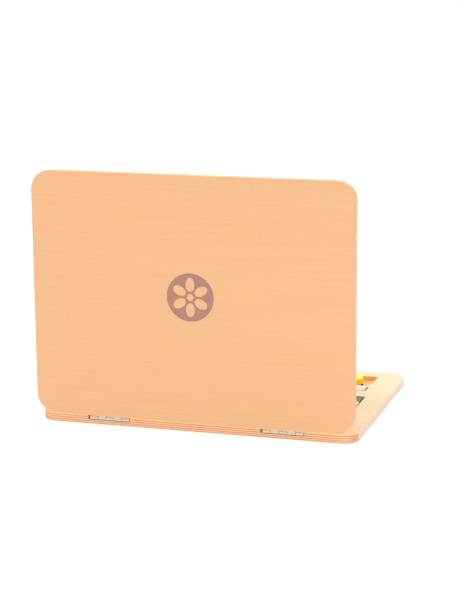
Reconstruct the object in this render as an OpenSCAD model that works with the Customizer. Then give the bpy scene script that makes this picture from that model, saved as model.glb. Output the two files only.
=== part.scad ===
// Wooden toy laptop: a plywood base with trays for magnetic tiles, chalk and an eraser,
// and a hinged lid that holds a magnetic chalkboard.
// X runs across the toy, Y from the front edge to the hinges and Z up.
// The origin is the centre of the base's underside, and the lid stands open at a right angle.

/* [Boards] */
// Width of the base and of the lid
board_w = 300; // [270:5:340]
// Depth of the base, which is also the height of the lid
board_d = 225; // [215:5:260]
// Corner radius of the base at its front
base_corner_r = 20; // [10:1:28]
// Corner radius of the base at its rear
base_rear_corner_r = 14; // [10:1:28]
// Corner radius of the lid
lid_corner_r = 18; // [10:1:28]
// Thickness of the base's bottom plate
plate_t = 2.7; // [2:0.1:4]
// Thickness of the base's upper layer, with the trays cut through it
tray_layer_t = 5; // [5:0.1:8]
// Thickness of the lid's outer panel
panel_t = 2; // [2:0.1:3]
// Thickness of the lid's frame
frame_t = 4; // [4:0.1:6]

/* [Chalkboard] */
// Width of the lid frame's side and top borders
border = 17; // [14:1:22]
// Width of the lid frame's bottom border, which carries the hinges
bottom_border = 21; // [18:1:28]
// Thickness of the steel sheet
sheet_t = 0.4; // [0.3:0.1:0.8]
// Corner radius of the frame's opening
opening_r = 8; // [3:1:14]

/* [Trays] */
// Width of the tile tray
tile_tray_w = 257; // [250:1:260]
// Depth of the tile tray from front to back
tile_tray_d = 95; // [95:1:98]
// Front edge of the base to the tile tray
tile_tray_from = 93; // [92:1:95]
// Width of the eraser tray and of the chalk slot
front_tray_w = 248; // [240:1:256]
// Depth of the eraser tray from front to back
eraser_tray_d = 36; // [34:0.5:37]
// Front edge of the base to the eraser tray
eraser_tray_from = 18.5; // [17:0.5:20]
// Depth of the chalk slot from front to back
chalk_slot_d = 15.3; // [15.2:0.1:16]
// Front edge of the base to the chalk slot
chalk_slot_from = 58.5; // [58:0.5:60]
// Corner radius of every tray
tray_r = 2; // [1:0.5:2.5]

/* [Hinges] */
// Length of each butt hinge
hinge_len = 38; // [30:1:50]
// Middle of the toy to the middle of each hinge's notch
hinge_x = 82.3; // [60:0.1:110]
// Radius of the rolled knuckles
knuckle_r = 2.4; // [2.1:0.1:2.4]
// Radius of the hinge pin
pin_r = 1; // [0.8:0.05:1.1]
// Thickness of a leaf
leaf_t = 0.6; // [0.6:0.1:1]
// Length of a leaf from the pin to its free edge
leaf_w = 13; // [12:0.5:15]
// Base's rear face to the pin
pin_inset = 1.6; // [1.5:0.1:2.6]
// Pin to the lid's bottom edge
lid_rise = 3.4; // [2.8:0.1:4]

/* [Loose pieces] */
// Thickness of a tile's wood
tile_t = 3; // [2.5:0.1:3.2]
// Thickness of the magnet sheet under each tile
magnet_t = 0.8; // [0.5:0.1:1]
// Diameter of a chalk stick
chalk_dia = 6.6; // [6:0.1:7.2]
// Length of a chalk stick
chalk_len = 78; // [50:1:90]
// Length of the eraser
eraser_len = 62; // [40:1:90]
// Width of the eraser
eraser_w = 24; // [20:1:28]
// Height of the eraser's body
eraser_h = 6.6; // [5:0.1:6.6]
// Thickness of the eraser's felt
felt_t = 2; // [1:0.1:2]

/* [Hidden] */
$fn = 96;
// Radial clearance of the pin in the knuckles
pin_play = 0.05;
// Gap between neighbouring knuckles
knuckle_gap = 0.3;
knuckles = 5;
// Gap round the knuckles in the base's notch, and the notch's spare length at one end
notch_gap = 0.3;
notch_spare = 2;
notch_len = hinge_len + 2 * notch_gap + notch_spare;
// Gap between a mortise and its leaf, and between the steel sheet and its frame
fit_gap = 0.2;
// Gap under each loose piece
rest_gap = 0.1;
// The magnet sheet and the felt are this much smaller all round than what they are under
trim = 0.3;
// Gap between the boards when the lid is closed
closed_gap = 0.4;

base_t = plate_t + tray_layer_t;
lid_t = panel_t + frame_t;
front_y = -board_d / 2;
pin_y = board_d / 2 - pin_inset;
// The pin lies this far below the base's top face
pin_drop = knuckle_r - leaf_t - closed_gap;
pin_z = base_t - pin_drop;
// The lid's inner face lines up with the inside of its rolled leaf
lid_front_y = pin_y + knuckle_r - leaf_t;
lid_back_y = lid_front_y + lid_t;
lid_bottom_z = pin_z + lid_rise;
opening_w = board_w - 2 * border;
opening_h = board_d - border - bottom_border;
opening_mid = bottom_border + opening_h / 2;
notch_depth = pin_inset + knuckle_r + notch_gap;
notch_floor = pin_z - knuckle_r - notch_gap;

// Screws: shank, head, length and where they stand on a leaf
screw_r = 1.2;
screw_head_r = 2.2;
screw_len = 3.8;
screw_play = 0.02;
screw_from_pin = 8;
screw_pitch = 24;
recess_w = 0.5;
recess_len = 2.2;
recess_depth = 0.5;

// Chalk sticks, lying at the left-hand end of the slot
chalk_end_gap = 2;
chalk_y = front_y + chalk_slot_from + chalk_slot_d / 2;
chalk_side = chalk_slot_d / 4;
// Eraser, lying near the left-hand end of its tray
eraser_end_x = -113;
eraser_y = front_y + eraser_tray_from + eraser_tray_d / 2;

floor_z = plate_t + rest_gap;
teal = [0.32, 0.56, 0.5];
yellow = [0.97, 0.85, 0.3];
red = [0.86, 0.26, 0.25];
blue = [0.16, 0.46, 0.68];
green = [0.42, 0.7, 0.34];
// Each row says name, shape, size, colour, turn, and where the tile's centre lies
// from the front left corner of its tray
TILES = [
    ["bar_teal",         "bar",      31, teal,     0, [18, 8]],
    ["bar_yellow",       "bar",      31, yellow,   0, [18, 24]],
    ["square_teal",      "square",   24, teal,     3, [19, 47.5]],
    ["triangle_red",     "triangle", 25, red,      0, [19, 78]],
    ["disc_blue",        "disc",     25, blue,     0, [50, 17]],
    ["hexagon_green",    "hexagon",  26, green,    8, [50, 47.5]],
    ["rhombus_teal",     "rhombus",  27, teal,     0, [50, 78]],
    ["triangle_yellow",  "triangle", 25, yellow, 180, [81.5, 17]],
    ["square_red",       "square",   22, red,     -7, [81.5, 47.5]],
    ["half_disc_blue",   "half",     26, blue,     0, [81.5, 78]],
    ["bar_green",        "bar",      26, green,   -5, [113, 17]],
    ["disc_yellow",      "disc",     23, yellow,   0, [113, 47.5]],
    ["triangle_blue",    "triangle", 25, blue,    90, [113, 78]],
    ["half_disc_red",    "half",     26, red,    180, [238, 17]],
    ["square_blue",      "square",   24, blue,     3, [238, 47.5]],
    ["hexagon_yellow",   "hexagon",  26, yellow,   0, [238, 78]],
    ["rhombus_red",      "rhombus",  27, red,      5, [207, 78]]
];

beech = [0.97, 0.78, 0.58];
beech_dark = [0.93, 0.71, 0.51];
steel = [0.78, 0.75, 0.71];

// A rectangle with round corners, centred on the origin
module rounded_rect(w, d, r) {
    square([w - 2 * r, d], center = true);
    square([w, d - 2 * r], center = true);
    for (sx = [-1, 1], sy = [-1, 1])
        translate([sx * (w / 2 - r), sy * (d / 2 - r)]) circle(r = r);
}

// The base's outline, whose front and rear corners have radii of their own
module base_outline() {
    straight = board_d - base_corner_r - base_rear_corner_r;
    translate([-board_w / 2, front_y + base_corner_r]) square([board_w, straight]);
    for (end = [[-1, base_corner_r], [1, base_rear_corner_r]])
        translate([0, end[0] * (board_d / 2 - end[1])]) {
            for (side = [-1, 1]) translate([side * (board_w / 2 - end[1]), 0]) circle(r = end[1]);
            square([board_w - 2 * end[1], 2 * end[1]], center = true);
        }
}

// A tray's outline, placed by its distance from the base's front edge
module tray_outline(w, d, from) {
    translate([0, front_y + from + d / 2]) rounded_rect(w, d, tray_r);
}

// Moves a shape drawn flat, outer face down, into the upright lid
module in_lid() {
    translate([0, lid_back_y, lid_bottom_z]) rotate([90, 0, 0]) children();
}

// Each hinge lies against the left-hand end of its notch
module at_hinge(side) {
    translate([side * hinge_x - notch_spare / 2, 0, 0]) children();
}

// The four places of the screws in one board, as distances along X
module at_screws() {
    for (side = [-1, 1], end = [-1, 1])
        at_hinge(side) translate([end * screw_pitch / 2, 0, 0]) children();
}

// Pockets for both leaves: base leaves lie flat, lid leaves stand upright
module leaf_mortises(reach) {
    for (side = [-1, 1])
        at_hinge(side) translate([-hinge_len / 2 - fit_gap, -reach - fit_gap, -leaf_t])
            cube([hinge_len + 2 * fit_gap, reach + 2 * fit_gap, 2 * leaf_t]);
}

module base_plate() {
    color(beech_dark) linear_extrude(plate_t) base_outline();
}

module base_tray_layer() {
    color(beech) difference() {
        translate([0, 0, plate_t]) linear_extrude(tray_layer_t) difference() {
            base_outline();
            tray_outline(tile_tray_w, tile_tray_d, tile_tray_from);
            tray_outline(front_tray_w, eraser_tray_d, eraser_tray_from);
            tray_outline(front_tray_w, chalk_slot_d, chalk_slot_from);
        }
        for (side = [-1, 1])
            translate([side * hinge_x - notch_len / 2, board_d / 2 - notch_depth, notch_floor])
                cube([notch_len, notch_depth + 1, base_t]);
        translate([0, board_d / 2 - notch_depth, base_t]) leaf_mortises(leaf_w - knuckle_r - notch_gap);
        at_screws() translate([0, pin_y - screw_from_pin, base_t - screw_len])
            cylinder(r = screw_r + screw_play, h = screw_len);
    }
}

module lid_panel() {
    color(beech) in_lid() linear_extrude(panel_t)
        translate([0, board_d / 2]) rounded_rect(board_w, board_d, lid_corner_r);
}

module lid_frame() {
    color(beech_dark) difference() {
        in_lid() translate([0, 0, panel_t]) linear_extrude(frame_t) difference() {
            translate([0, board_d / 2]) rounded_rect(board_w, board_d, lid_corner_r);
            translate([0, opening_mid]) rounded_rect(opening_w, opening_h, opening_r);
        }
        in_lid() translate([0, 0, lid_t]) mirror([0, 1, 0]) leaf_mortises(leaf_w - lid_rise);
        at_screws() translate([0, lid_front_y, pin_z + screw_from_pin]) rotate([-90, 0, 0])
            cylinder(r = screw_r + screw_play, h = screw_len);
    }
}

module chalkboard() {
    color([0.12, 0.13, 0.13]) in_lid() translate([0, opening_mid, panel_t]) linear_extrude(sheet_t)
        rounded_rect(opening_w - 2 * fit_gap, opening_h - 2 * fit_gap, opening_r - fit_gap);
}

// One leaf lying flat, its pin along X at the origin and its face z_top above the pin.
// first is 0 for the leaf with the outer knuckles and 1 for the leaf between them.
module hinge_leaf(z_top, first) {
    step = hinge_len / knuckles;
    difference() {
        union() {
            translate([-hinge_len / 2, -leaf_w, z_top - leaf_t])
                cube([hinge_len, leaf_w - knuckle_r - knuckle_gap, leaf_t]);
            for (k = [first : 2 : knuckles - 1])
                translate([-hinge_len / 2 + k * step + knuckle_gap / 2, 0, 0]) {
                    rotate([0, 90, 0]) cylinder(r = knuckle_r, h = step - knuckle_gap);
                    translate([0, -knuckle_r - knuckle_gap - 1, z_top - leaf_t])
                        cube([step - knuckle_gap, knuckle_r + knuckle_gap + 1, leaf_t]);
                }
        }
        translate([-hinge_len, 0, 0]) rotate([0, 90, 0])
            cylinder(r = pin_r + pin_play, h = 2 * hinge_len);
        for (end = [-1, 1]) translate([end * screw_pitch / 2, -screw_from_pin, z_top - leaf_t])
            cylinder(r1 = screw_r + screw_play, r2 = screw_head_r + screw_play, h = leaf_t);
    }
}

module base_hinge_leaf(side) {
    color(steel) at_hinge(side) translate([0, pin_y, pin_z]) hinge_leaf(pin_drop, 0);
}

// The lid's leaf is turned upright, with its open face to the front
module lid_hinge_leaf(side) {
    color(steel) at_hinge(side) translate([0, pin_y, pin_z])
        rotate([-90, 0, 0]) mirror([0, 0, 1]) hinge_leaf(leaf_t - knuckle_r, 1);
}

module hinge_pin(side) {
    color([0.6, 0.58, 0.55]) at_hinge(side) translate([-hinge_len / 2, pin_y, pin_z])
        rotate([0, 90, 0]) cylinder(r = pin_r, h = hinge_len);
}

// A countersunk screw with a cross recess, its head at the origin and its point down
module screw() {
    difference() {
        union() {
            translate([0, 0, -leaf_t]) cylinder(r1 = screw_r, r2 = screw_head_r, h = leaf_t);
            translate([0, 0, -screw_len]) cylinder(r = screw_r, h = screw_len - leaf_t);
        }
        for (turn = [0, 90]) rotate([0, 0, turn])
            translate([-recess_len / 2, -recess_w / 2, -recess_depth])
                cube([recess_len, recess_w, 2 * recess_depth]);
    }
}

module base_screws() {
    color(steel) at_screws() translate([0, pin_y - screw_from_pin, base_t]) screw();
}

module lid_screws() {
    color(steel) at_screws() translate([0, lid_front_y, pin_z + screw_from_pin])
        rotate([90, 0, 0]) screw();
}

// The eraser's outline: a bar with a full round at each end
module eraser_outline(inset) {
    r = eraser_w / 2 - inset;
    for (end = [-1, 1]) translate([end * (eraser_len - eraser_w) / 2, 0]) circle(r = r);
    square([eraser_len - eraser_w, 2 * r], center = true);
}

module eraser_body() {
    color(yellow) translate([eraser_end_x + eraser_len / 2, eraser_y, floor_z + felt_t])
        linear_extrude(eraser_h) eraser_outline(0);
}

module eraser_felt() {
    color([0.1, 0.09, 0.09]) translate([eraser_end_x + eraser_len / 2, eraser_y, floor_z])
        linear_extrude(felt_t) eraser_outline(trim);
}

module chalk(side) {
    color([0.97, 0.97, 0.96])
        translate([chalk_end_gap - front_tray_w / 2, chalk_y + side * chalk_side, floor_z + chalk_dia / 2])
            rotate([0, 90, 0]) cylinder(d = chalk_dia, h = chalk_len);
}

// Tile outlines, each centred on the origin and at most size across
module tile_outline(shape, size) {
    if (shape == "square") square(size, center = true);
    if (shape == "bar") square([size, size / 2], center = true);
    if (shape == "disc") circle(d = size);
    if (shape == "hexagon") circle(d = size, $fn = 6);
    if (shape == "triangle")
        polygon([[-size / 2, -size / 2], [size / 2, -size / 2], [-size / 2, size / 2]]);
    if (shape == "rhombus")
        polygon([[-size / 2, 0], [0, -size / 3], [size / 2, 0], [0, size / 3]]);
    if (shape == "half") translate([0, -size / 4]) intersection() {
        circle(d = size);
        translate([-size / 2, 0]) square([size, size / 2]);
    }
}

// Puts a shape where its tile lies, turned as the tile is
module at_tile(t) {
    translate([t[5][0] - tile_tray_w / 2, front_y + tile_tray_from + t[5][1], floor_z])
        rotate([0, 0, t[4]]) children();
}

module tile(t) {
    color(t[3]) at_tile(t) translate([0, 0, magnet_t]) linear_extrude(tile_t)
        tile_outline(t[1], t[2]);
}

// The magnet sheet is a little smaller than its tile all round
module magnet(t) {
    color([0.2, 0.19, 0.18]) at_tile(t) linear_extrude(magnet_t)
        tile_outline(t[1], t[2] - 2 * trim);
}

base_plate();
base_tray_layer();
base_hinge_leaf(-1);  // base_hinge_leaf_left
base_hinge_leaf(1);  // base_hinge_leaf_right
hinge_pin(-1);  // hinge_pin_left
hinge_pin(1);  // hinge_pin_right
base_screws();
lid_panel();
lid_frame();
chalkboard();
lid_hinge_leaf(-1);  // lid_hinge_leaf_left
lid_hinge_leaf(1);  // lid_hinge_leaf_right
lid_screws();
eraser_body();
eraser_felt();
chalk(-1);  // chalk_front
chalk(1);  // chalk_rear
for (t = TILES) {
    tile(t);
    magnet(t);
}
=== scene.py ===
# Wooden toy laptop: plywood base with trays, hinged chalkboard lid, eraser, chalk and magnetic shapes.
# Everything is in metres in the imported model's own frame: X across, Y from the front edge to the hinges.
import math

import bmesh
import bpy
from mathutils import Euler, Matrix, Vector
from mathutils.geometry import tessellate_polygon


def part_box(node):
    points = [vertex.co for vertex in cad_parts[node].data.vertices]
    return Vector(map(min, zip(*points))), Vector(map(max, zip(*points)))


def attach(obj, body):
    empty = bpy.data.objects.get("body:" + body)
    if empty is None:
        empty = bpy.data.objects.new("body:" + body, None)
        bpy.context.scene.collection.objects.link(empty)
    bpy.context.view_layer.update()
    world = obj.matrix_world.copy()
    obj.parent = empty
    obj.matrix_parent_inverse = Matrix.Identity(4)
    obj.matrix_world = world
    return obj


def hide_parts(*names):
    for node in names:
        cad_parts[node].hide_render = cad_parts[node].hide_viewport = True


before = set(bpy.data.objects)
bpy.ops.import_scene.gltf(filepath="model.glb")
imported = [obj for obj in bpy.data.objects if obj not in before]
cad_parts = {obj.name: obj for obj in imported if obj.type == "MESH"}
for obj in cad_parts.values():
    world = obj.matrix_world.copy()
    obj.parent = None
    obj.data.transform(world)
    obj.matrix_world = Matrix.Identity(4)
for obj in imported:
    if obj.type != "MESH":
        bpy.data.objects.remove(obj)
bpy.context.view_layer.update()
mm = 0.001


# camera, light and floor

cameraSettings = {
    "place": (-0.48838, 1.57977, 0.45813),
    "lens": 104.3,           # millimetres
    "sensorWidth": 36,       # millimetres
    "heading": 197.18,       # degrees round Z
    "lookDown": 12.5,
    "roll": -0.42,
    "farthest": 100,
}

studio = {
    "worldStrength": 0.66,
    "panels": {              # width, height, place and watts; each one faces the toy
        "topPanel": (3.6, 3.6, (-0.3, 0.2, 2.4), 61.0),
        "sheenPanel": (0.8, 0.16, (-0.06, -0.4, 0.09), 0.87),
    },
    "reflectionOnly": ["sheenPanel"],
    "floorSize": 40.0,
    "floorColour": (0.86, 0.86, 0.86),
    "floorRoughness": 0.9,
    "floorGlow": 0.45,
}
white = (1, 1, 1)


def addCamera():
    data = bpy.data.cameras.new("camera")
    data.lens = cameraSettings["lens"]
    data.sensor_width = cameraSettings["sensorWidth"]
    data.clip_end = cameraSettings["farthest"]
    camera = bpy.data.objects.new("camera", data)
    bpy.context.scene.collection.objects.link(camera)
    tilt = math.radians(90 - cameraSettings["lookDown"])
    turn = Euler((tilt, 0, math.radians(cameraSettings["heading"]))).to_matrix()
    roll = Matrix.Rotation(math.radians(cameraSettings["roll"]), 3, "Z")
    camera.matrix_world = Matrix.Translation(cameraSettings["place"]) @ (turn @ roll).to_4x4()
    bpy.context.scene.camera = camera


def addWorld():
    world = bpy.data.worlds.new("studio")
    world.use_nodes = True
    nodes, links = world.node_tree.nodes, world.node_tree.links
    light = nodes["Background"]
    light.inputs["Color"].default_value = rgba(white)
    light.inputs["Strength"].default_value = studio["worldStrength"]
    # the backdrop itself is pure white, whatever the strength of its light
    backdrop = nodes.new("ShaderNodeBackground")
    backdrop.inputs["Color"].default_value = rgba(white)
    either = nodes.new("ShaderNodeMixShader")
    links.new(nodes.new("ShaderNodeLightPath").outputs["Is Camera Ray"], either.inputs["Fac"])
    links.new(light.outputs[0], either.inputs[1])
    links.new(backdrop.outputs[0], either.inputs[2])
    links.new(either.outputs[0], nodes["World Output"].inputs["Surface"])
    bpy.context.scene.world = world
    bpy.context.scene.view_settings.view_transform = "Standard"


def addPanels():
    for name, (width, height, place, watts) in studio["panels"].items():
        light = bpy.data.lights.new(name, "AREA")
        light.shape = "RECTANGLE"
        light.size, light.size_y = width, height
        light.energy = watts
        panel = bpy.data.objects.new(name, light)
        bpy.context.scene.collection.objects.link(panel)
        panel.location = place
        panel.rotation_euler = (-Vector(place)).to_track_quat("-Z", "Y").to_euler()
        panel.visible_camera = False
        panel.visible_diffuse = name not in studio["reflectionOnly"]


def addFloor():
    half = studio["floorSize"] / 2
    corners = [(-half, -half, 0), (half, -half, 0), (half, half, 0), (-half, half, 0)]
    mesh = bpy.data.meshes.new("floor")
    mesh.from_pydata(corners, [], [(0, 1, 2, 3)])
    floor = bpy.data.objects.new("floor", mesh)
    bpy.context.scene.collection.objects.link(floor)
    material, tree, shader = newMaterial("paperFloor")
    shader.inputs["Base Color"].default_value = rgba(studio["floorColour"])
    shader.inputs["Roughness"].default_value = studio["floorRoughness"]
    shader.inputs["Emission Color"].default_value = rgba(white)
    shader.inputs["Emission Strength"].default_value = studio["floorGlow"]
    mesh.materials.append(material)


# small helpers for node trees

def newMaterial(name):
    material = bpy.data.materials.new(name)
    material.use_nodes = True
    tree = material.node_tree
    return material, tree, tree.nodes["Principled BSDF"]


def rgba(colour):
    return colour if isinstance(colour, bpy.types.NodeSocket) else (*colour, 1.0)


def put(tree, value, socket):
    if isinstance(value, bpy.types.NodeSocket):
        tree.links.new(value, socket)
    else:
        socket.default_value = value


def calc(tree, operation, a, b=0.0, clamp=False):
    node = tree.nodes.new("ShaderNodeMath")
    node.operation = operation
    node.use_clamp = clamp
    put(tree, a, node.inputs[0])
    put(tree, b, node.inputs[1])
    return node.outputs[0]


def squared(tree, value):
    return calc(tree, "MULTIPLY", value, value)


def ramp(tree, value, low, high, outLow=0.0, outHigh=1.0):
    # eases from outLow, where value is at low, to outHigh, where it is at high
    node = tree.nodes.new("ShaderNodeMapRange")
    node.interpolation_type = "SMOOTHSTEP"
    put(tree, value, node.inputs["Value"])
    limits = {"From Min": low, "From Max": high, "To Min": outLow, "To Max": outHigh}
    for label, number in limits.items():
        node.inputs[label].default_value = number
    return node.outputs["Result"]


def mixed(tree, amount, first, second, blend="MIX"):
    node = tree.nodes.new("ShaderNodeMix")
    node.data_type = "RGBA"
    node.blend_type = blend
    put(tree, amount, node.inputs[0])
    colourInputs = [socket for socket in node.inputs if socket.type == "RGBA"]
    put(tree, rgba(first), colourInputs[0])
    put(tree, rgba(second), colourInputs[1])
    return [socket for socket in node.outputs if socket.type == "RGBA"][0]


def coordinates(tree, kind="Object"):
    return tree.nodes.new("ShaderNodeTexCoord").outputs[kind]


def noise(tree, point, scale, detail=3.0, rough=0.5, distortion=0.0):
    # scale is in features per metre, one number or one for each axis
    stretch = tree.nodes.new("ShaderNodeMapping")
    stretch.inputs["Scale"].default_value = scale if isinstance(scale, tuple) else (scale,) * 3
    tree.links.new(point, stretch.inputs["Vector"])
    node = tree.nodes.new("ShaderNodeTexNoise")
    node.inputs["Scale"].default_value = 1.0
    node.inputs["Detail"].default_value = detail
    node.inputs["Roughness"].default_value = rough
    node.inputs["Distortion"].default_value = distortion
    tree.links.new(stretch.outputs["Vector"], node.inputs["Vector"])
    return node.outputs["Fac"]


def axes(tree, point):
    node = tree.nodes.new("ShaderNodeSeparateXYZ")
    tree.links.new(point, node.inputs[0])
    return node.outputs


def bump(tree, height, shader, depth):
    node = tree.nodes.new("ShaderNodeBump")
    node.inputs["Distance"].default_value = depth
    node.inputs["Strength"].default_value = 1.0
    tree.links.new(height, node.inputs["Height"])
    tree.links.new(node.outputs["Normal"], shader.inputs["Normal"])


addCamera()
addWorld()
addPanels()
addFloor()
print("camera, lights and floor ready")


# beech plywood

beech = {
    "baseTonePaintedLight": 1.065,       # painted light: the base's wood is made lighter, standing in for its top lit from above
    # painted shade: the lid's wood is made darker, standing in for its back in shade
    "lidTonePaintedShade": 0.862,
    "colour": (0.9, 0.5, 0.243),
    "darkGrain": (0.84, 0.445, 0.205),
    "paleGrain": (0.92, 0.525, 0.268),
    "fleck": (0.76, 0.37, 0.165),
    # the most that each of them covers
    "darkShare": 0.42,
    "paleShare": 0.35,
    "fleckShare": 0.2,
    # features per metre along the grain, across it and through the board
    "fineScale": (12, 420, 60),
    "broadScale": (2.2, 26, 10),
    "fleckScale": (260, 2600, 200),
    "roughness": (0.37, 0.42),
    "grainRoughness": 0.12,  # what the dark grain adds
    "bumpDepth": 0.04 * mm,
}

plies = {
    "boardEdge": ((0.92, 0.645, 0.385), (0.75, 0.35, 0.175)),   # light and dark
    # painted light: the tray walls are brighter and more saturated orange, standing in for light bounced
    # between them
    "trayEdgePaintedBounce": ((1.0, 0.62, 0.24), (0.93, 0.46, 0.13)),
    "baseSidePaintedLight": (0.72, 0.505, 0.448),   # painted light: the short sides' own colour, standing in for the brighter light and grazing reflection on them
    "lidSidePaintedLight": (0.57, 0.375, 0.295),
    "paintedLightSideShare": 0.85,
    "glueLine": (0.66, 0.34, 0.19),
    "glueHalfWidth": 0.06,   # as a share of a ply
    "glueShare": 0.3,
    "cornerDarkening": (0.6, 0.34, 0.19),        # darker where the corner arcs turn towards the short sides
    "cornerDarkeningShare": 0.85,
    "wander": 0.22 * mm,     # how far the plies stray from straight lines
    "roughness": (0.45, 0.62),
    "bumpDepth": 0.06 * mm,
}

roundel = {
    "radius": 21.84 * mm,
    "centre": (0.2 * mm, 125.5 * mm),   # X and Z
    "petals": 6,
    "petalFrom": 5.2 * mm,
    "petalTo": 17.8 * mm,
    "petalHalfWidth": 4.1 * mm,
    "eye": 3.1 * mm,
    "edge": 0.16 * mm,
    "ink": (0.408, 0.221, 0.182),
    "woodTint": 0.35,        # how much the wood's colour tints the ink
    "thinnest": 0.86,        # cover where the ink is worn
}


def toned(colour, tone):
    return tuple(min(channel * tone, 1.0) for channel in colour)


def grainScale(name, flat):
    # a scale along, across and through the board becomes one for X, Y and Z
    along, across, through = beech[name]
    return (along, across, through) if flat == "Z" else (along, through, across)


def grainColour(tree, point, flat, tone):
    # flat names the axis that the face looks along, Z or Y; the grain always runs along X
    fine = noise(tree, point, grainScale("fineScale", flat), 5, 0.65, 0.35)
    broad = noise(tree, point, grainScale("broadScale", flat), 3, 0.5, 1.2)
    flecks = noise(tree, point, grainScale("fleckScale", flat), 1, 0.4)
    dark = ramp(tree, fine, 0.42, 0.68, 0, beech["darkShare"])
    pale = ramp(tree, broad, 0.4, 0.8, 0, beech["paleShare"])
    fleck = ramp(tree, flecks, 0.66, 0.74, 0, beech["fleckShare"])
    colour = mixed(tree, dark, toned(beech["colour"], tone), toned(beech["darkGrain"], tone))
    colour = mixed(tree, pale, colour, toned(beech["paleGrain"], tone))
    colour = mixed(tree, fleck, colour, toned(beech["fleck"], tone))
    height = calc(tree, "SUBTRACT", fine, calc(tree, "MULTIPLY", fleck, 1.5))
    return colour, fine, height


def discMask(tree, radius, size):
    return ramp(tree, radius, size - roundel["edge"], size + roundel["edge"], 1, 0)


def roundelMask(tree, point):
    x, y, z = axes(tree, point)
    across = calc(tree, "SUBTRACT", x, roundel["centre"][0])
    up = calc(tree, "SUBTRACT", z, roundel["centre"][1])
    radius = calc(tree, "SQRT", calc(tree, "ADD", squared(tree, across), squared(tree, up)))
    # the plane is folded into one petal's share of a turn, so that one ellipse draws every petal
    share = math.tau / roundel["petals"]
    angle = calc(tree, "ADD", calc(tree, "ARCTAN2", up, across), share)
    folded = calc(tree, "SUBTRACT", calc(tree, "FLOORED_MODULO", angle, share), share / 2)
    out = calc(tree, "MULTIPLY", radius, calc(tree, "COSINE", folded))
    aside = calc(tree, "MULTIPLY", radius, calc(tree, "SINE", folded))
    middle = (roundel["petalFrom"] + roundel["petalTo"]) / 2
    reach = (roundel["petalTo"] - roundel["petalFrom"]) / 2
    out = calc(tree, "DIVIDE", calc(tree, "SUBTRACT", out, middle), reach)
    aside = calc(tree, "DIVIDE", aside, roundel["petalHalfWidth"])
    petals = ramp(tree, calc(tree, "ADD", squared(tree, out), squared(tree, aside)), 0.95, 1.05, 1, 0)
    flower = calc(tree, "MAXIMUM", petals, discMask(tree, radius, roundel["eye"]))
    disc = discMask(tree, radius, roundel["radius"])
    return calc(tree, "MULTIPLY", disc, calc(tree, "SUBTRACT", 1.0, flower))


def plyFace(name, flat, tone, printed=False):
    material, tree, shader = newMaterial(name)
    point = coordinates(tree)
    colour, fine, height = grainColour(tree, point, flat, tone)
    if printed:
        worn = ramp(tree, noise(tree, point, 2400, 2), 0.3, 0.62, roundel["thinnest"], 1.0)
        ink = mixed(tree, roundel["woodTint"], roundel["ink"], colour, "MULTIPLY")
        colour = mixed(tree, calc(tree, "MULTIPLY", roundelMask(tree, point), worn), colour, ink)
    put(tree, colour, shader.inputs["Base Color"])
    smudge = ramp(tree, noise(tree, point, 18), 0.35, 0.7, *beech["roughness"])
    coarse = ramp(tree, fine, 0.3, 0.8, 0, beech["grainRoughness"])
    put(tree, calc(tree, "ADD", coarse, smudge), shader.inputs["Roughness"])
    bump(tree, height, shader, beech["bumpDepth"])
    return material


def plyEdge(name, axis, start, thickness, colours, side):
    # plies alternate light and dark along the axis, the first one light, with a glue line between them
    material, tree, shader = newMaterial(name)
    point = coordinates(tree)
    place = dict(zip("XYZ", axes(tree, point)))[axis]
    stray = calc(tree, "SUBTRACT", noise(tree, point, 60, 2), 0.5)
    place = calc(tree, "ADD", place, calc(tree, "MULTIPLY", stray, plies["wander"]))
    layer = calc(tree, "DIVIDE", calc(tree, "SUBTRACT", place, start), thickness)
    # a triangle wave that is 0 in the middle of a light ply and 1 in the middle of a dark one
    wave = calc(tree, "PINGPONG", calc(tree, "SUBTRACT", layer, 0.5), 1.0)
    darkPly = ramp(tree, wave, 0.42, 0.58)
    pores = noise(tree, point, 1500, 3, 0.6)
    streak = noise(tree, point, 240, 3, 0.6)
    colour = mixed(tree, darkPly, *colours)
    colour = mixed(tree, ramp(tree, pores, 0.5, 0.72, 0, 0.25), colour, beech["fleck"])
    colour = mixed(tree, ramp(tree, streak, 0.4, 0.7, 0, 0.3), colour, beech["paleGrain"])
    glue = calc(tree, "COMPARE", wave, 0.5)
    glue.node.inputs[2].default_value = plies["glueHalfWidth"]
    colour = mixed(tree, calc(tree, "MULTIPLY", glue, plies["glueShare"]), colour, plies["glueLine"])
    # painted light: the short sides take their own colour for the light and grazing reflection on them, and
    # the corner arcs next to them are darker
    sideways = calc(tree, "ABSOLUTE", axes(tree, coordinates(tree, "Normal"))[0])
    colour = mixed(tree, ramp(tree, sideways, 0.25, 0.9, 0, plies["cornerDarkeningShare"]), colour, plies["cornerDarkening"])
    colour = mixed(tree, ramp(tree, sideways, 0.95, 0.99, 0, plies["paintedLightSideShare"]), colour, side)
    put(tree, colour, shader.inputs["Base Color"])
    put(tree, ramp(tree, pores, 0.3, 0.7, *plies["roughness"]), shader.inputs["Roughness"])
    height = calc(tree, "SUBTRACT", streak, calc(tree, "MULTIPLY", darkPly, 0.3))
    bump(tree, height, shader, plies["bumpDepth"])
    return material


# outlines and solids

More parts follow.
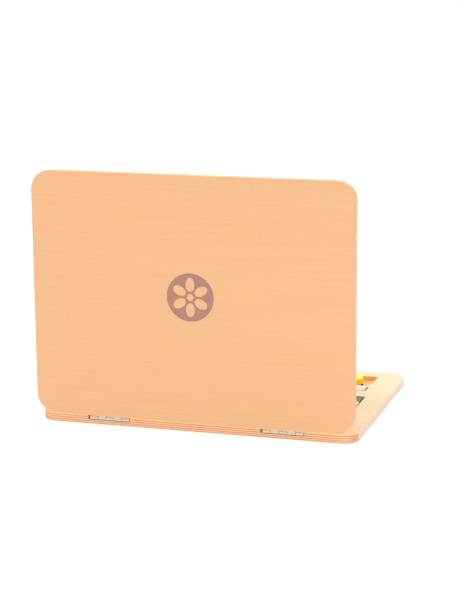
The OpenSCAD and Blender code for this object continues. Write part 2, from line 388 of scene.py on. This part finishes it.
def roundedLoop(corners, radius, steps=16):
    # each corner of an anticlockwise outline becomes an arc that meets both of its sides
    # radius is one number for all corners, or a list with one for each
    points = []
    count = len(corners)
    radii = radius if isinstance(radius, list) else [radius] * count
    for k in range(count):
        before, corner, after = (Vector(corners[(k + d) % count]) for d in (-1, 0, 1))
        toBefore, toAfter = (before - corner).normalized(), (after - corner).normalized()
        half = toBefore.angle(toAfter) / 2
        if half > math.radians(80):  # nearly straight, so part of a curve already
            points.append(corner)
            continue
        centre = corner + (toBefore + toAfter).normalized() * radii[k] / math.sin(half)
        start = corner + toBefore * radii[k] / math.tan(half) - centre
        sweep = math.pi - 2 * half
        for step in range(steps + 1):
            arm = start.copy()
            arm.rotate(Matrix.Rotation(sweep * step / steps, 2))
            points.append(centre + arm)
    # where two arcs meet, only one of their two equal points stays
    return [point for k, point in enumerate(points) if (point - points[k - 1]).length > 0.0001 * mm]


def rectangle(width, depth, centre=(0.0, 0.0)):
    x, y = centre
    return [(x - width / 2, y - depth / 2), (x + width / 2, y - depth / 2),
            (x + width / 2, y + depth / 2), (x - width / 2, y + depth / 2)]


def insetLoop(loop, distance):
    moved = []
    for k, point in enumerate(loop):
        along = (loop[(k + 1) % len(loop)] - point).normalized()
        back = (point - loop[k - 1]).normalized()
        inward = (Vector((-along.y, along.x)) + Vector((-back.y, back.x))).normalized()
        share = max(inward.dot(Vector((-along.y, along.x))), 0.3)  # keeps a sharp corner from running off
        moved.append(point + inward * distance / share)
    return moved


def edgeRows(low, high, lowRound, highRound, steps=4):
    # inset, height and wear from the lower face to the upper one, with a quarter round at each end
    lower, upper = [(0, low, 0)], [(0, high, 0)]
    angles = [math.pi / 2 * k / steps for k in range(steps + 1)]
    if lowRound:
        lower = [(lowRound * (1 - math.sin(angle)), low + lowRound * (1 - math.cos(angle)),
                  math.sin(2 * angle)) for angle in angles]
    if highRound:
        upper = [(highRound * (1 - math.cos(angle)), high - highRound * (1 - math.sin(angle)),
                  math.sin(2 * angle)) for angle in angles]
    return lower, upper


def newPiece(name, shape, materials=()):
    # puts a bmesh into the scene as an object
    mesh = bpy.data.meshes.new(name)
    shape.to_mesh(mesh)
    shape.free()
    piece = bpy.data.objects.new(name, mesh)
    bpy.context.scene.collection.objects.link(piece)
    for material in materials:
        mesh.materials.append(material)
    return piece


def addWall(shape, loop, rows, materialNumber):
    # a wall follows the loop through the rows; its lowest and highest rings are handed back
    wearLayer = shape.verts.layers.float["wear"]
    rings = []
    for inset, height, wear in rows:
        ring = [shape.verts.new((point.x, point.y, height)) for point in insetLoop(loop, inset)]
        for corner in ring:
            corner[wearLayer] = wear
        rings.append(ring)
    for lower, upper in zip(rings, rings[1:]):
        for k in range(len(lower)):
            face = shape.faces.new((lower[k - 1], lower[k], upper[k], upper[k - 1]))
            face.material_index = materialNumber
    return rings[0], rings[-1]


def buildSolid(name, outline, rows, materials, holes=(), holeRows=(), place=Matrix.Identity(4)):
    # walls follow the outline and each hole, and flat caps close both ends
    # material 0 is on the caps, 1 on the outer wall and 2 on the holes' walls, as far as there are any
    # each row's third number is kept as wear, where the paint rubs through
    last = len(materials) - 1
    shape = bmesh.new()
    shape.verts.layers.float.new("wear")
    walls = [addWall(shape, outline, rows, min(1, last))]
    widened = [(-inset, height, wear) for inset, height, wear in holeRows]
    walls += [addWall(shape, hole, widened, min(2, last)) for hole in holes]
    for rings in zip(*walls):
        corners = [corner for ring in rings for corner in ring]
        for triangle in tessellate_polygon([[corner.co for corner in ring] for ring in rings]):
            shape.faces.new([corners[k] for k in triangle])
    bmesh.ops.recalc_face_normals(shape, faces=shape.faces)
    shape.transform(place)
    return newPiece(name, shape, materials)


def applyModifiers(piece):
    graph = bpy.context.evaluated_depsgraph_get()
    mesh = bpy.data.meshes.new_from_object(piece.evaluated_get(graph))
    old = piece.data
    piece.modifiers.clear()
    piece.data = mesh
    bpy.data.meshes.remove(old)
    mesh.name = piece.name


def cutOut(piece, low, high):
    # takes a box away; its walls get material 1
    low, high = Vector(low), Vector(high)
    box = Matrix.Translation((high + low) / 2) @ Matrix.Diagonal((*(high - low), 1))
    shape = bmesh.new()
    bmesh.ops.create_cube(shape, size=1, matrix=box)
    for face in shape.faces:
        face.material_index = 1
    cutter = newPiece("cutter", shape, piece.data.materials)
    cut = piece.modifiers.new("cut", "BOOLEAN")
    cut.operation = "DIFFERENCE"
    cut.solver = "EXACT"
    cut.object = cutter
    applyModifiers(piece)
    mesh = cutter.data
    bpy.data.objects.remove(cutter)
    bpy.data.meshes.remove(mesh)


def softNormals(piece, angle):
    piece.data.shade_smooth()
    piece.data.set_sharp_from_angle(angle=math.radians(angle))
    weighted = piece.modifiers.new("weighted", "WEIGHTED_NORMAL")
    weighted.keep_sharp = True
    weighted.weight = 100
    applyModifiers(piece)


def settle(piece, body, slotName, *nodes):
    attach(piece, body)
    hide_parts(*nodes)


# base: bottom plate and tray layer

plateLow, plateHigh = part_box("base_plate")
layerLow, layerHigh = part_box("base_tray_layer")
boardWidth = plateHigh.x - plateLow.x
boardDepth = plateHigh.y - plateLow.y

baseBoard = {
    "frontCornerRadius": 20 * mm,
    "rearCornerRadius": 14 * mm,
    "edgeRound": 0.45 * mm,
    "trayEdgeRound": 0.3 * mm,
    "trayCornerRadius": 2 * mm,
    "firstPly": -0.75 * mm,  # most of the lowest ply has been sanded away
    "plyThickness": 0.965 * mm,
    "smoothAngle": 32,
    "trays": {               # width, depth, and distance from the front edge
        "tile": (257 * mm, 95 * mm, 93 * mm),
        "eraser": (248 * mm, 36 * mm, 18.5 * mm),
        "chalk": (248 * mm, 15.3 * mm, 58.5 * mm),
    },
}

# what the boards need to take the hinges
hingeSeats = {
    "notchMiddle": 82.3 * mm,
    "notchGap": 0.3 * mm,    # in front of the knuckles and past their ends
    "notchFloorGap": 0.08 * mm,
    "notchSpare": 2 * mm,    # at the end that the hinge doesn't reach
    "mortisePlay": 0.2 * mm,
    "leafThickness": 0.6 * mm,
    "overshoot": 1 * mm,     # how far a cut runs past the wood
}
pinLow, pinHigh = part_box("hinge_pin_left")
pinPoint = (pinLow + pinHigh) / 2
# the knuckles reach as far behind the pin as the leaf does
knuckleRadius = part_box("base_hinge_leaf_left")[1].y - pinPoint.y


def trayLoops():
    loops = []
    for width, depth, start in baseBoard["trays"].values():
        centre = (0.0, plateLow.y + start + depth / 2)
        loops.append(roundedLoop(rectangle(width, depth, centre), baseBoard["trayCornerRadius"]))
    return loops


def cutNotches(layer):
    past, play = hingeSeats["overshoot"], hingeSeats["mortisePlay"]
    notchFront = pinPoint.y - knuckleRadius - hingeSeats["notchGap"]
    notchFloor = pinPoint.z - knuckleRadius - hingeSeats["notchFloorGap"]
    for side, sign in (("left", -1), ("right", 1)):
        low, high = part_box("base_hinge_leaf_" + side)
        half = (high.x - low.x + hingeSeats["notchSpare"]) / 2 + hingeSeats["notchGap"]
        middle = sign * hingeSeats["notchMiddle"]
        cutOut(layer, (middle - half, notchFront, notchFloor),
               (middle + half, layerHigh.y + past, layerHigh.z + past))
        cutOut(layer, (low.x - play, low.y - play, layerHigh.z - hingeSeats["leafThickness"]),
               (high.x + play, notchFront + past, layerHigh.z + past))


def makeBase():
    start, thickness = baseBoard["firstPly"], baseBoard["plyThickness"]
    edge = plyEdge("plyEdgeBase", "Z", start, thickness, plies["boardEdge"], plies["baseSidePaintedLight"])
    trayWall = plyEdge("plyTrayWall", "Z", start, thickness, plies["trayEdgePaintedBounce"], plies["trayEdgePaintedBounce"][0])
    topFace = plyFace("plyFaceBase", "Z", beech["baseTonePaintedLight"])
    front, rear = baseBoard["frontCornerRadius"], baseBoard["rearCornerRadius"]
    outline = roundedLoop(rectangle(boardWidth, boardDepth), [front, front, rear, rear])

    lower, upper = edgeRows(plateLow.z, plateHigh.z, baseBoard["edgeRound"], 0)
    plate = buildSolid("basePlate", outline, lower + upper, [topFace, edge])
    softNormals(plate, baseBoard["smoothAngle"])
    settle(plate, "base", "plywood_base", "base_plate")

    lower, upper = edgeRows(layerLow.z, layerHigh.z, 0, baseBoard["edgeRound"])
    trayLower, trayUpper = edgeRows(layerLow.z, layerHigh.z, 0, baseBoard["trayEdgeRound"])
    layer = buildSolid("trayLayer", outline, lower + upper, [topFace, edge, trayWall],
                       trayLoops(), trayLower + trayUpper)
    cutNotches(layer)
    softNormals(layer, baseBoard["smoothAngle"])
    settle(layer, "base", "plywood_base", "base_tray_layer")


makeBase()
print("base boards made")


# lid: outer panel and frame

panelLow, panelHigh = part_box("lid_panel")
rimLow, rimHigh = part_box("lid_frame")

lidBoard = {
    "cornerRadius": 18 * mm,
    "edgeRound": 0.45 * mm,
    "border": 17 * mm,
    "bottomBorder": 21 * mm,
    "openingRadius": 8 * mm,
    "openingRound": 0.35 * mm,
    "plyThickness": 0.857 * mm,
    "smoothAngle": 32,
}

# a solid drawn flat is stood up: its Y becomes the height, and its Z the distance from front to back
standUp = Matrix(((1, 0, 0, 0), (0, 0, 1, 0), (0, 1, 0, 0), (0, 0, 0, 1)))


def lidOpening():
    width = boardWidth - 2 * lidBoard["border"]
    height = panelHigh.z - panelLow.z - lidBoard["border"] - lidBoard["bottomBorder"]
    middle = panelLow.z + lidBoard["bottomBorder"] + height / 2
    return roundedLoop(rectangle(width, height, (0.0, middle)), lidBoard["openingRadius"])


def cutMortises(rim):
    past, play = hingeSeats["overshoot"], hingeSeats["mortisePlay"]
    for side in ("left", "right"):
        low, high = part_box("lid_hinge_leaf_" + side)
        cutOut(rim, (low.x - play, rimLow.y - past, rimLow.z - past),
               (high.x + play, rimLow.y + hingeSeats["leafThickness"], high.z + play))


def makeLid():
    edge = plyEdge("plyEdgeLid", "Y", rimLow.y, lidBoard["plyThickness"],
                   plies["boardEdge"], plies["lidSidePaintedLight"])
    backFace = plyFace("plyFaceLidBack", "Y", beech["lidTonePaintedShade"], printed=True)
    frontFace = plyFace("plyFaceLidFront", "Y", beech["lidTonePaintedShade"])
    board = rectangle(boardWidth, panelHigh.z - panelLow.z, (0.0, (panelHigh.z + panelLow.z) / 2))
    outline = roundedLoop(board, lidBoard["cornerRadius"])

    front, back = edgeRows(panelLow.y, panelHigh.y, 0, lidBoard["edgeRound"])
    panel = buildSolid("lidPanel", outline, front + back, [backFace, edge], place=standUp)
    softNormals(panel, lidBoard["smoothAngle"])
    settle(panel, "lid", "plywood_lid", "lid_panel")

    front, back = edgeRows(rimLow.y, rimHigh.y, lidBoard["edgeRound"], 0)
    openingFront, openingBack = edgeRows(rimLow.y, rimHigh.y, lidBoard["openingRound"], 0)
    rim = buildSolid("lidFrame", outline, front + back, [frontFace, edge],
                     [lidOpening()], openingFront + openingBack, standUp)
    cutMortises(rim)
    softNormals(rim, lidBoard["smoothAngle"])
    settle(rim, "lid", "plywood_lid", "lid_frame")


makeLid()
print("lid boards made")


# blackboard lacquer on the steel sheet

slate = {
    "colour": (0.014, 0.017, 0.017),
    "dust": (0.2, 0.21, 0.205),
    "mostDust": 0.34,
    "wipeScale": (9, 9, 26),
    "dustScale": (120, 120, 420),
    "roughness": (0.62, 0.82),
    "gloss": 0.35,
    "bumpDepth": 0.02 * mm,
}


def makeChalkboard():
    material, tree, shader = newMaterial("boardLacquer")
    point = coordinates(tree)
    wipes = noise(tree, point, slate["wipeScale"], 5, 0.6, 2.4)
    fineDust = ramp(tree, noise(tree, point, slate["dustScale"], 4, 0.7, 0.6), 0.3, 0.7, 0.35, 1)
    dust = calc(tree, "MULTIPLY", ramp(tree, wipes, 0.46, 0.78, 0, slate["mostDust"]), fineDust)
    put(tree, mixed(tree, dust, slate["colour"], slate["dust"]), shader.inputs["Base Color"])
    put(tree, ramp(tree, wipes, 0.3, 0.7, *slate["roughness"]), shader.inputs["Roughness"])
    shader.inputs["Specular IOR Level"].default_value = slate["gloss"]
    bump(tree, noise(tree, point, 2600, 2), shader, slate["bumpDepth"])
    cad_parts["chalkboard"].data.materials[0] = material


makeChalkboard()
print("chalkboard finished")


# hinges, pins and screws

hinges = {
    "zinc": {                # dull plating, which mirrors less than bare metal
        # partly painted reflection: the plating's grey is warmed to cream, standing in for the orange wood
        # mirrored in it
        "colour": (0.69, 0.63, 0.53),
        "roughness": (0.5, 0.62),
        "metallic": 0.45,
        "scratchScale": (60, 1400, 1400),
    },
    "drawnSteel": {
        "colour": (0.5, 0.485, 0.46),
        "roughness": (0.25, 0.4),
        "metallic": 1.0,
        "scratchScale": (40, 2000, 2000),
    },
    "dulling": 0.86,         # what the tarnished spots keep of the colour
    "scratchDepth": 0.012 * mm,
    "bevel": 0.12 * mm,
    "bevelAngle": 50,
    "smoothAngle": 40,
    "weld": 0.0005 * mm,     # points nearer than this become one
}


def metal(name, finish):
    material, tree, shader = newMaterial(name)
    point = coordinates(tree)
    scratches = noise(tree, point, finish["scratchScale"], 3, 0.6)
    tarnish = noise(tree, point, 170, 3, 0.55, 0.8)
    dulled = toned(finish["colour"], hinges["dulling"])
    colour = mixed(tree, ramp(tree, tarnish, 0.42, 0.72, 0, 0.4), finish["colour"], dulled)
    put(tree, colour, shader.inputs["Base Color"])
    shader.inputs["Metallic"].default_value = finish["metallic"]
    brushed = ramp(tree, scratches, 0.3, 0.7, *finish["roughness"])
    matt = ramp(tree, tarnish, 0.4, 0.7, 0, 0.08)
    put(tree, calc(tree, "ADD", brushed, matt), shader.inputs["Roughness"])
    bump(tree, scratches, shader, hinges["scratchDepth"])
    return material


def bevelledCopy(node, name):
    # a copy of a metal part with its sharp arrises broken
    shape = bmesh.new()
    shape.from_mesh(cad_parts[node].data)
    bmesh.ops.remove_doubles(shape, verts=shape.verts, dist=hinges["weld"])
    bmesh.ops.dissolve_limit(shape, angle_limit=math.radians(0.5), verts=shape.verts, edges=shape.edges)
    piece = newPiece(name, shape)
    arris = piece.modifiers.new("arris", "BEVEL")
    arris.width = hinges["bevel"]
    arris.segments = 2
    arris.limit_method = "ANGLE"
    arris.angle_limit = math.radians(hinges["bevelAngle"])
    applyModifiers(piece)
    # where bevels meet they can leave an edge of no length
    shape = bmesh.new()
    shape.from_mesh(piece.data)
    bmesh.ops.remove_doubles(shape, verts=shape.verts, dist=hinges["weld"])
    bmesh.ops.dissolve_degenerate(shape, dist=hinges["weld"], edges=shape.edges)
    shape.to_mesh(piece.data)
    shape.free()
    return piece


def makeHinges():
    zinc = metal("platedZinc", hinges["zinc"])
    drawn = metal("drawnSteel", hinges["drawnSteel"])
    for side in ("left", "right"):
        for body in ("base", "lid"):
            node = f"{body}_hinge_leaf_{side}"
            leaf = bevelledCopy(node, f"{body}Leaf{side.title()}")
            leaf.data.materials.append(zinc)
            softNormals(leaf, hinges["smoothAngle"])
            settle(leaf, body, "hinge_steel", node)
        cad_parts["hinge_pin_" + side].data.materials[0] = drawn
    for body in ("base", "lid"):
        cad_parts[body + "_screws"].data.materials[0] = drawn


makeHinges()
print("hinges finished")


# board eraser

eraser = {
    "yellow": (1.0, 0.725, 0.0),
    "paleYellow": (1.0, 0.765, 0.004),
    "gloss": (1.0, 0.8, 0.1),
    "roughness": (0.42, 0.5),
    "scuffScale": (90, 700, 90),
    "topRound": 2.2 * mm,
    "bottomRound": 0.4 * mm,
    "grooveHeight": 0.36,    # share of the body's height
    "grooveDepth": 0.25 * mm,
    "bumpDepth": 0.02 * mm,
}

felt = {
    "colour": (0.008, 0.007, 0.007),
    "pale": (0.03, 0.028, 0.028),
    "roughness": 0.95,
    "gloss": 0.2,
    "edgeRound": 0.35 * mm,
    "bumpDepth": 0.15 * mm,
}
smallPieceAngle = 50         # edges sharper than this stay sharp on the small pieces


def stadium(low, high):
    width, depth = high.x - low.x, high.y - low.y
    middle = ((low.x + high.x) / 2, (low.y + high.y) / 2)
    # a trace less than half the depth, so that no two points of an end fall together
    return roundedLoop(rectangle(width, depth, middle), depth / 2 * 0.9999, 24)


def yellowPlastic():
    material, tree, shader = newMaterial("eraserPlastic")
    point = coordinates(tree)
    cloud = noise(tree, point, 45)
    scuffs = noise(tree, point, eraser["scuffScale"], 4, 0.7, 1.5)
    colour = mixed(tree, ramp(tree, cloud, 0.35, 0.7, 0, 0.4), eraser["yellow"], eraser["paleYellow"])
    put(tree, colour, shader.inputs["Base Color"])
    scuffed = ramp(tree, scuffs, 0.5, 0.75, 0, 0.16)
    plain = ramp(tree, cloud, 0.3, 0.7, *eraser["roughness"])
    put(tree, calc(tree, "ADD", scuffed, plain), shader.inputs["Roughness"])
    shader.inputs["Specular Tint"].default_value = rgba(eraser["gloss"])
    shader.inputs["Subsurface Weight"].default_value = 0.05
    shader.inputs["Subsurface Radius"].default_value = (4 * mm, 2 * mm, 0.5 * mm)
    shader.inputs["Subsurface Scale"].default_value = 0.5
    bump(tree, noise(tree, point, 1600, 2, 0.6), shader, eraser["bumpDepth"])
    return material


def blackFelt():
    material, tree, shader = newMaterial("pressedFelt")
    point = coordinates(tree)
    fibres = noise(tree, point, 3200, 4, 0.75, 1.5)
    clumps = noise(tree, point, 500, 3, 0.6)
    colour = mixed(tree, ramp(tree, fibres, 0.45, 0.75), felt["colour"], felt["pale"])
    put(tree, colour, shader.inputs["Base Color"])
    shader.inputs["Roughness"].default_value = felt["roughness"]
    shader.inputs["Specular IOR Level"].default_value = felt["gloss"]
    bump(tree, calc(tree, "ADD", fibres, clumps), shader, felt["bumpDepth"])
    return material


def makeEraser():
    low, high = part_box("eraser_body")
    lower, upper = edgeRows(low.z, high.z, eraser["bottomRound"], eraser["topRound"], 6)
    # the parting line runs round the body where its two halves meet
    middle = low.z + (high.z - low.z) * eraser["grooveHeight"]
    depth = eraser["grooveDepth"]
    groove = [(0, middle - depth, 0), (depth, middle, 0), (0, middle + depth, 0)]
    body = buildSolid("eraserBody", stadium(low, high), lower + groove + upper, [yellowPlastic()])
    softNormals(body, smallPieceAngle)
    settle(body, "eraser", "eraser_plastic", "eraser_body")

    low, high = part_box("eraser_felt")
    lower, upper = edgeRows(low.z, high.z, felt["edgeRound"], felt["edgeRound"], 3)
    pad = buildSolid("eraserFelt", stadium(low, high), lower + upper, [blackFelt()])
    softNormals(pad, smallPieceAngle)
    settle(pad, "eraser", "felt", "eraser_felt")


makeEraser()
print("eraser made")


# chalk

chalk = {
    "white": (0.755, 0.76, 0.74),
    "shade": (0.62, 0.63, 0.62),
    "rubScale": (35, 260, 260),
    "roughness": 0.92,
    "gloss": 0.25,
    "bumpDepth": 0.06 * mm,
    "startRound": 0.25 * mm,
    "endRound": 0.4 * mm,
    "waist": 0.06 * mm,      # how much a stick narrows between its ends
    "stations": (0.15, 0.3, 0.5, 0.7, 0.85),   # shares of the length
    "sides": 40,
}


def chalkMaterial():
    material, tree, shader = newMaterial("dryChalk")
    point = coordinates(tree)
    powder = noise(tree, point, 2200, 4, 0.7)
    rubs = noise(tree, point, chalk["rubScale"], 4, 0.6, 0.8)
    colour = mixed(tree, ramp(tree, rubs, 0.5, 0.8, 0, 0.6), chalk["white"], chalk["shade"])
    put(tree, colour, shader.inputs["Base Color"])
    shader.inputs["Roughness"].default_value = chalk["roughness"]
    shader.inputs["Specular IOR Level"].default_value = chalk["gloss"]
    bump(tree, calc(tree, "ADD", powder, rubs), shader, chalk["bumpDepth"])
    return material


def makeChalk(name, body, node, material):
    low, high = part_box(node)
    radius = (high.z - low.z) / 2
    length = high.x - low.x
    centre = (low + high) / 2
    angles = [math.tau * k / chalk["sides"] for k in range(chalk["sides"])]
    circle = [Vector((radius * math.cos(angle), radius * math.sin(angle))) for angle in angles]
    start, end = edgeRows(0, length, chalk["startRound"], chalk["endRound"], 5)
    waist = [(chalk["waist"] * math.sin(math.pi * share), length * share, 0) for share in chalk["stations"]]
    alongX = Matrix(((0, 0, 1, low.x), (1, 0, 0, centre.y), (0, 1, 0, centre.z), (0, 0, 0, 1)))
    stick = buildSolid(name, circle, start + waist + end, [material], place=alongX)
    softNormals(stick, smallPieceAngle)
    settle(stick, body, "chalk", node)


dryChalk = chalkMaterial()
makeChalk("chalkFront", "chalk_stick_front", "chalk_front", dryChalk)
makeChalk("chalkRear", "chalk_stick_rear", "chalk_rear", dryChalk)
print("chalk made")


# magnetic shapes

shapes = {
    "cornerRadius": 0.9 * mm,
    "topRound": 0.45 * mm,
    "bottomRound": 0.2 * mm,
    "paint": {
        "teal": (0.055, 0.242, 0.167),
        "yellow": (0.89, 0.8, 0.09),
        "red": (0.68, 0.035, 0.03),
        "blue": (0.012, 0.15, 0.42),
        "green": (0.1, 0.36, 0.06),
    },
    "deep": 0.8,             # what the paint keeps of its colour where it lies thick
    "roughness": (0.55, 0.68),
    "gloss": 0.3,
    "mostWear": 0.8,
    "bumpDepth": 0.03 * mm,
    "size": {                # millimetres across, and degrees of turn
        "bar_teal": (31, 0), "bar_yellow": (31, 0), "square_teal": (24, 3), "triangle_red": (25, 0),
        "disc_blue": (25, 0), "hexagon_green": (26, 8), "rhombus_teal": (27, 0),
        "triangle_yellow": (25, 180), "square_red": (22, -7), "half_disc_blue": (26, 0),
        "bar_green": (26, -5), "disc_yellow": (23, 0), "triangle_blue": (25, 90),
        "half_disc_red": (26, 180), "square_blue": (24, 3), "hexagon_yellow": (26, 0),
        "rhombus_red": (27, 5),
    },
}

magnetSheet = {
    "inset": 0.3 * mm,
    "colour": (0.016, 0.013, 0.011),
    "speckle": (0.05, 0.043, 0.038),
    "roughness": (0.6, 0.78),
    "bumpDepth": 0.03 * mm,
}


def arcPoints(radius, count, sweep=math.tau):
    angles = [sweep * k / count for k in range(count)]
    return [(radius * math.cos(angle), radius * math.sin(angle)) for angle in angles]


def shapeLoop(kind, size):
    # outlines are centred on the origin and run anticlockwise
    half = size / 2
    if kind == "square":
        corners = rectangle(size, size)
    elif kind == "bar":
        corners = rectangle(size, half)
    elif kind == "triangle":
        corners = [(-half, -half), (half, -half), (-half, half)]
    elif kind == "rhombus":
        corners = [(-half, 0), (0, -size / 3), (half, 0), (0, size / 3)]
    elif kind == "half_disc":
        arc = arcPoints(half, 40, math.pi) + [(-half, 0)]
        corners = [(x, y - half / 2) for x, y in arc]
    else:
        corners = arcPoints(half, {"hexagon": 6, "disc": 72}[kind])
    return roundedLoop(corners, shapes["cornerRadius"], 6)


def paintedWood(colourName):
    material, tree, shader = newMaterial("paint" + colourName.title())
    point = coordinates(tree)
    thin = shapes["paint"][colourName]
    mottle = noise(tree, point, 130, 4, 0.6)
    grain = noise(tree, point, (60, 1200, 1200), 4, 0.6, 0.4)
    painted = mixed(tree, ramp(tree, mottle, 0.35, 0.7, 0, 0.6), thin, toned(thin, shapes["deep"]))
    wear = tree.nodes.new("ShaderNodeAttribute")
    wear.attribute_name = "wear"
    chips = ramp(tree, noise(tree, point, 900, 4, 0.7), 0.55, 0.68)
    rubbed = calc(tree, "MULTIPLY", wear.outputs["Fac"], chips)
    rubbed = calc(tree, "MULTIPLY", rubbed, shapes["mostWear"], clamp=True)
    put(tree, mixed(tree, rubbed, painted, plies["boardEdge"][0]), shader.inputs["Base Color"])
    plain = ramp(tree, mottle, 0.3, 0.7, *shapes["roughness"])
    put(tree, calc(tree, "ADD", plain, calc(tree, "MULTIPLY", rubbed, 0.2)), shader.inputs["Roughness"])
    shader.inputs["Specular IOR Level"].default_value = shapes["gloss"]
    height = calc(tree, "ADD", grain, calc(tree, "MULTIPLY", rubbed, -1.5))
    bump(tree, height, shader, shapes["bumpDepth"])
    return material


def magnetRubber():
    material, tree, shader = newMaterial("magnetSheet")
    point = coordinates(tree)
    speckle = noise(tree, point, 2600, 3, 0.7)
    blotch = noise(tree, point, 140)
    colour = mixed(tree, ramp(tree, speckle, 0.4, 0.75), magnetSheet["colour"], magnetSheet["speckle"])
    put(tree, colour, shader.inputs["Base Color"])
    put(tree, ramp(tree, blotch, 0.3, 0.7, *magnetSheet["roughness"]), shader.inputs["Roughness"])
    bump(tree, speckle, shader, magnetSheet["bumpDepth"])
    return material


def makeShape(name, paint, rubber):
    kind, colourName = name.rsplit("_", 1)
    size, turn = shapes["size"][name]
    label = "".join(word.title() for word in name.split("_"))
    loop = shapeLoop(kind, size * mm)
    low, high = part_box("tile_" + name)
    centre = (low + high) / 2
    place = Matrix.Translation((centre.x, centre.y, 0)) @ Matrix.Rotation(math.radians(turn), 4, "Z")
    lower, upper = edgeRows(low.z, high.z, shapes["bottomRound"], shapes["topRound"])
    tile = buildSolid("tile" + label, loop, lower + upper, [paint[colourName]], place=place)
    softNormals(tile, smallPieceAngle)
    settle(tile, "loose_" + name, "tile_" + colourName, "tile_" + name)

    low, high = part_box("magnet_" + name)
    lower, upper = edgeRows(low.z, high.z, 0, 0)
    inner = insetLoop(loop, magnetSheet["inset"])
    magnet = buildSolid("magnet" + label, inner, lower + upper, [rubber], place=place)
    settle(magnet, "loose_" + name, "magnet_sheet", "magnet_" + name)


def makeShapes():
    paint = {colourName: paintedWood(colourName) for colourName in shapes["paint"]}
    rubber = magnetRubber()
    for name in shapes["size"]:
        makeShape(name, paint, rubber)


makeShapes()
print("magnetic shapes made")
